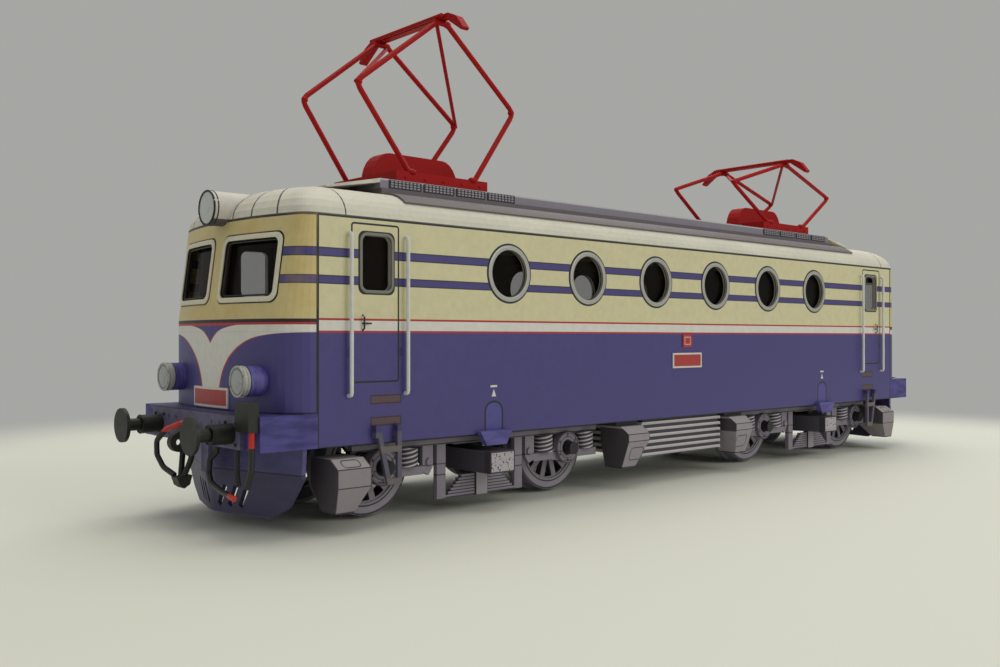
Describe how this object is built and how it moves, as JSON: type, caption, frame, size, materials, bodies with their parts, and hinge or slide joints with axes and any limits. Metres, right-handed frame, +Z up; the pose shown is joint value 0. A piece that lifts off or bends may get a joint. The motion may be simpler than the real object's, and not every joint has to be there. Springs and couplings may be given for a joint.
{
  "type": "scale model electric locomotive",
  "caption": "Card model of a four-axle electric locomotive, H0 scale, with swivelling bogies, turning wheelsets, buffers and raised current collectors.",
  "frame": {"origin": "middle of the locomotive, on the plane under the wheel flanges", "axes": "+X towards cab 1, +Y to its left side, +Z up"},
  "size_m": [0.181, 0.0378, 0.074],
  "materials": {
    "painted_side_card": "printed satin card, cream over violet blue",
    "roof_card": "printed matt card, off-white",
    "walkway_card": "printed matt card, lilac grey",
    "grille_card": "printed matt card, dark",
    "inner_card": "plain matt card, brown",
    "clear_foil": "thin clear foil",
    "blue_card": "painted satin card, violet blue",
    "beam_card": "painted matt card, blue grey",
    "black_paint": "painted satin card, black",
    "black_wire": "painted wire, black",
    "lens": "printed satin card, grey-white",
    "step_card": "painted matt card, grey green",
    "white_wire": "painted wire, white",
    "plate_card": "printed satin card, red with a pale edge",
    "grey_card": "printed matt card, warm grey",
    "red_paint": "painted satin card, red",
    "red_wire": "painted wire, red",
    "wheel_card": "printed matt card, grey"
  },
  "bodies": {
    "body": {"side_wall_left": "painted_side_card", "side_wall_right": "painted_side_card", "cab_front_1": "painted_side_card", "cab_front_2": "painted_side_card", "roof": "roof_card", "roof_end_1": "roof_card", "roof_end_2": "roof_card", "roof_walkway": "walkway_card", "walkway_cowls": "roof_card", "walkway_grilles": "grille_card", "floor_plate": "inner_card", "bulkheads": "inner_card", "window_foil": "clear_foil", "underframe_end_1": "blue_card", "underframe_end_2": "blue_card", "buffer_beams": "beam_card", "buffers_1": "black_paint", "buffers_2": "black_paint", "coupling_1": "black_paint", "coupling_2": "black_paint", "brake_hoses_1": "black_wire", "brake_hoses_2": "black_wire", "jumper_boxes": "black_paint", "snow_plough_1": "blue_card", "snow_plough_2": "blue_card", "lower_lamps": "blue_card", "upper_lamps": "roof_card", "lamp_lenses": "lens", "door_steps": "step_card", "handrails": "white_wire", "sand_fillers": "blue_card", "number_plates": "plate_card", "centre_box": "grey_card", "equipment_boxes": "grey_card", "collector_base_1": "red_paint", "collector_base_2": "red_paint", "collector_frame_1": "red_wire", "collector_frame_2": "red_wire", "contact_bow_1": "red_wire", "contact_bow_2": "red_wire", "roof_lead": "black_wire"},
    "front_bogie": {"bogie_frame_1": "grey_card", "bolster_1": "grey_card", "leaf_springs_1": "grey_card", "coil_springs_1": "grey_card", "sandboxes_1": "grey_card"},
    "rear_bogie": {"bogie_frame_2": "grey_card", "bolster_2": "grey_card", "leaf_springs_2": "grey_card", "coil_springs_2": "grey_card", "sandboxes_2": "grey_card"},
    "wheelset_1": {"wheelset_1": "wheel_card"},
    "wheelset_2": {"wheelset_2": "wheel_card"},
    "wheelset_3": {"wheelset_3": "wheel_card"},
    "wheelset_4": {"wheelset_4": "wheel_card"}
  },
  "joints": [
    {"name": "front_bogie_pivot", "type": "hinge", "parent": "body", "child": "front_bogie", "pos_m": [0.0463, 0, 0.0157], "axis": [0, 0, 1], "range_deg": [-2.5, 2.5]},
    {"name": "rear_bogie_pivot", "type": "hinge", "parent": "body", "child": "rear_bogie", "pos_m": [-0.0463, 0, 0.0157], "axis": [0, 0, 1], "range_deg": [-2.5, 2.5]},
    {"name": "wheelset_1_spin", "type": "hinge", "parent": "front_bogie", "child": "wheelset_1", "pos_m": [0.0644, 0, 0.0076], "axis": [0, 1, 0], "continuous": true},
    {"name": "wheelset_2_spin", "type": "hinge", "parent": "front_bogie", "child": "wheelset_2", "pos_m": [0.0282, 0, 0.0076], "axis": [0, 1, 0], "continuous": true},
    {"name": "wheelset_3_spin", "type": "hinge", "parent": "rear_bogie", "child": "wheelset_3", "pos_m": [-0.0282, 0, 0.0076], "axis": [0, 1, 0], "continuous": true},
    {"name": "wheelset_4_spin", "type": "hinge", "parent": "rear_bogie", "child": "wheelset_4", "pos_m": [-0.0644, 0, 0.0076], "axis": [0, 1, 0], "continuous": true}
  ]
}
